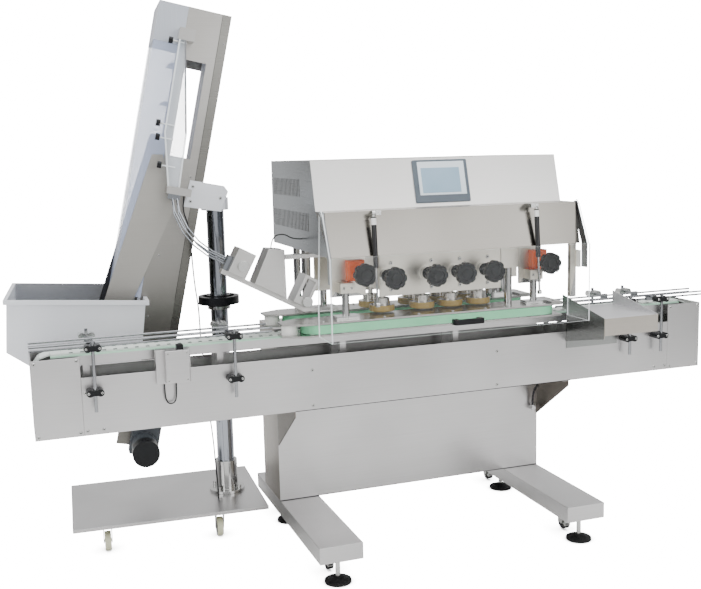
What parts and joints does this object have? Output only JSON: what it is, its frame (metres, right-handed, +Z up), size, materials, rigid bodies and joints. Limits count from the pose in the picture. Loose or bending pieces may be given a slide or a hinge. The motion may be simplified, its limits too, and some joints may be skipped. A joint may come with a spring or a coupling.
{
  "type": "bottle capping machine",
  "caption": "In-line bottle capping machine: slat-chain conveyor on a cabinet, side belts, paired capping spindles behind a clear guard, cap dispenser and cap lift with hopper on a cart.",
  "frame": {"origin": "on the floor, under the middle of the outline", "axes": "+X along the bottles' travel, +Y away from the operator, +Z up"},
  "size_m": [2.896, 1.2472, 2.1617],
  "materials": {
    "stainless_steel": "brushed",
    "bright_steel": "satin",
    "hopper_steel": "satin",
    "chrome": "polished",
    "black_plastic": "moulded",
    "black_rubber": "matt",
    "chain_plastic": "satin",
    "green_belt": "matt",
    "lift_belt_rubber": "matt",
    "bezel_plastic": "moulded",
    "screen_glass": "gloss",
    "clear_acrylic": "clear",
    "spindle_aluminium": "turned",
    "spring_black": "satin",
    "motor_grey": "painted",
    "caster_plastic": "moulded",
    "cable_black": "matt"
  },
  "bodies": {
    "root": {"cabinet": "stainless_steel", "foot_beams": "stainless_steel", "floor_feet": "black_rubber", "trough": "stainless_steel", "end_covers": "stainless_steel", "conveyor_rails": "stainless_steel", "slat_chain": "chain_plastic", "guide_rails": "chrome", "guide_clamps": "black_plastic", "junction_box": "stainless_steel", "reject_tray": "stainless_steel", "belt_beams": "bright_steel", "side_belts": "green_belt", "housing": "stainless_steel", "panel_bezel": "bezel_plastic", "panel_screen": "screen_glass", "columns": "chrome", "head_plate": "stainless_steel", "end_blocks": "stainless_steel", "dispenser_box": "stainless_steel", "dispenser_blocks": "bright_steel", "cap_track": "chrome", "lift_frame": "stainless_steel", "lift_cover": "clear_acrylic", "lift_belt": "lift_belt_rubber", "lift_motor": "motor_grey", "hopper": "hopper_steel", "cap_chute": "bright_steel", "cart_plate": "stainless_steel", "post": "chrome", "post_bracket": "hopper_steel", "cabinet_cable": "cable_black", "junction_cable": "cable_black", "dispenser_cable": "cable_black", "lift_cable": "cable_black"},
    "spindle_front_1": {"spindle_front_1": "spindle_aluminium"},
    "spindle_rear_1": {"spindle_rear_1": "spindle_aluminium"},
    "spindle_front_2": {"spindle_front_2": "spindle_aluminium"},
    "spindle_rear_2": {"spindle_rear_2": "spindle_aluminium"},
    "spindle_front_3": {"spindle_front_3": "spindle_aluminium"},
    "spindle_rear_3": {"spindle_rear_3": "spindle_aluminium"},
    "spindle_front_4": {"spindle_front_4": "spindle_aluminium"},
    "spindle_rear_4": {"spindle_rear_4": "spindle_aluminium"},
    "head_knob_1": {"head_knob_1": "black_plastic"},
    "head_knob_2": {"head_knob_2": "black_plastic"},
    "head_knob_3": {"head_knob_3": "black_plastic"},
    "head_knob_4": {"head_knob_4": "black_plastic"},
    "end_knob_left": {"end_knob_left": "black_plastic"},
    "end_knob_right": {"end_knob_right": "black_plastic"},
    "guard": {"guard_panel": "clear_acrylic", "guard_handle": "black_plastic"},
    "spring_cylinder_left": {"spring_cylinder_left": "spring_black"},
    "spring_rod_left": {"spring_rod_left": "chrome"},
    "spring_cylinder_right": {"spring_cylinder_right": "spring_black"},
    "spring_rod_right": {"spring_rod_right": "chrome"},
    "caster_front_left": {"caster_front_left": "caster_plastic"},
    "caster_front_right": {"caster_front_right": "caster_plastic"},
    "caster_rear_left": {"caster_rear_left": "caster_plastic"},
    "caster_rear_right": {"caster_rear_right": "caster_plastic"},
    "post_handwheel": {"post_handwheel": "black_plastic"}
  },
  "joints": [
    {"name": "spindle_front_1_spin", "type": "hinge", "parent": "root", "child": "spindle_front_1", "pos_m": [-0.06896, -0.2886, 0.95], "axis": [0, 0, 1], "continuous": true},
    {"name": "spindle_rear_1_spin", "type": "hinge", "parent": "root", "child": "spindle_rear_1", "pos_m": [-0.06896, -0.1646, 0.95], "axis": [0, 0, 1], "continuous": true},
    {"name": "spindle_front_2_spin", "type": "hinge", "parent": "root", "child": "spindle_front_2", "pos_m": [0.09904, -0.2886, 0.95], "axis": [0, 0, 1], "continuous": true},
    {"name": "spindle_rear_2_spin", "type": "hinge", "parent": "root", "child": "spindle_rear_2", "pos_m": [0.09904, -0.1646, 0.95], "axis": [0, 0, 1], "continuous": true},
    {"name": "spindle_front_3_spin", "type": "hinge", "parent": "root", "child": "spindle_front_3", "pos_m": [0.22004, -0.2886, 0.95], "axis": [0, 0, 1], "continuous": true},
    {"name": "spindle_rear_3_spin", "type": "hinge", "parent": "root", "child": "spindle_rear_3", "pos_m": [0.22004, -0.1646, 0.95], "axis": [0, 0, 1], "continuous": true},
    {"name": "spindle_front_4_spin", "type": "hinge", "parent": "root", "child": "spindle_front_4", "pos_m": [0.34104, -0.2886, 0.95], "axis": [0, 0, 1], "continuous": true},
    {"name": "spindle_rear_4_spin", "type": "hinge", "parent": "root", "child": "spindle_rear_4", "pos_m": [0.34104, -0.1646, 0.95], "axis": [0, 0, 1], "continuous": true},
    {"name": "head_knob_1_turn", "type": "hinge", "parent": "root", "child": "head_knob_1", "pos_m": [-0.06896, -0.4446, 1.091], "axis": [0, -1, 0], "continuous": true},
    {"name": "head_knob_2_turn", "type": "hinge", "parent": "root", "child": "head_knob_2", "pos_m": [0.09904, -0.4446, 1.091], "axis": [0, -1, 0], "continuous": true},
    {"name": "head_knob_3_turn", "type": "hinge", "parent": "root", "child": "head_knob_3", "pos_m": [0.22004, -0.4446, 1.091], "axis": [0, -1, 0], "continuous": true},
    {"name": "head_knob_4_turn", "type": "hinge", "parent": "root", "child": "head_knob_4", "pos_m": [0.34104, -0.4446, 1.091], "axis": [0, -1, 0], "continuous": true},
    {"name": "end_knob_left_turn", "type": "hinge", "parent": "root", "child": "end_knob_left", "pos_m": [-0.18796, -0.4446, 1.111], "axis": [0, -1, 0], "continuous": true},
    {"name": "end_knob_right_turn", "type": "hinge", "parent": "root", "child": "end_knob_right", "pos_m": [0.58804, -0.4446, 1.107], "axis": [0, -1, 0], "continuous": true},
    {"name": "guard_hinge", "type": "hinge", "parent": "root", "child": "guard", "pos_m": [0.14304, -0.5016, 1.34], "axis": [-1, 0, 0], "range_deg": [0, 70]},
    {"name": "spring_cylinder_left_pivot", "type": "hinge", "parent": "root", "child": "spring_cylinder_left", "pos_m": [-0.19396, -0.5466, 1.344], "axis": [-1, 0, 0], "range_deg": [0, 75.13]},
    {"name": "spring_rod_left_slide", "type": "slide", "parent": "spring_cylinder_left", "child": "spring_rod_left", "axis": [0, -0.0769, -0.997], "range_m": [-0.04579, 0]},
    {"name": "spring_cylinder_right_pivot", "type": "hinge", "parent": "root", "child": "spring_cylinder_right", "pos_m": [0.45704, -0.5466, 1.344], "axis": [-1, 0, 0], "range_deg": [0, 75.13]},
    {"name": "spring_rod_right_slide", "type": "slide", "parent": "spring_cylinder_right", "child": "spring_rod_right", "axis": [0, -0.0769, -0.997], "range_m": [-0.04579, 0]},
    {"name": "caster_front_left_swivel", "type": "hinge", "parent": "root", "child": "caster_front_left", "pos_m": [-1.11906, 0.08033, 0.12], "axis": [0, 0, 1], "continuous": true},
    {"name": "caster_front_right_swivel", "type": "hinge", "parent": "root", "child": "caster_front_right", "pos_m": [-0.66968, 0.05678, 0.12], "axis": [0, 0, 1], "continuous": true},
    {"name": "caster_rear_left_swivel", "type": "hinge", "parent": "root", "child": "caster_rear_left", "pos_m": [-1.09855, 0.4718, 0.12], "axis": [0, 0, 1], "continuous": true},
    {"name": "caster_rear_right_swivel", "type": "hinge", "parent": "root", "child": "caster_rear_right", "pos_m": [-0.64916, 0.44825, 0.12], "axis": [0, 0, 1], "continuous": true},
    {"name": "post_handwheel_turn", "type": "hinge", "parent": "root", "child": "post_handwheel", "pos_m": [-0.59696, 0.2384, 0.937], "axis": [0, 0, 1], "continuous": true}
  ],
  "couplings": [
    {"joint": "spindle_rear_1_spin", "follows": "spindle_front_1_spin", "ratio": 1},
    {"joint": "spindle_front_2_spin", "follows": "spindle_front_1_spin", "ratio": 1},
    {"joint": "spindle_rear_2_spin", "follows": "spindle_front_1_spin", "ratio": 1},
    {"joint": "spindle_front_3_spin", "follows": "spindle_front_1_spin", "ratio": 1},
    {"joint": "spindle_rear_3_spin", "follows": "spindle_front_1_spin", "ratio": 1},
    {"joint": "spindle_front_4_spin", "follows": "spindle_front_1_spin", "ratio": 1},
    {"joint": "spindle_rear_4_spin", "follows": "spindle_front_1_spin", "ratio": 1},
    {"joint": "spring_cylinder_left_pivot", "follows": "guard_hinge", "ratio": 1.0705},
    {"joint": "spring_rod_left_slide", "follows": "guard_hinge", "m_per_rad": -0.037067},
    {"joint": "spring_cylinder_right_pivot", "follows": "guard_hinge", "ratio": 1.0705},
    {"joint": "spring_rod_right_slide", "follows": "guard_hinge", "m_per_rad": -0.037067}
  ]
}
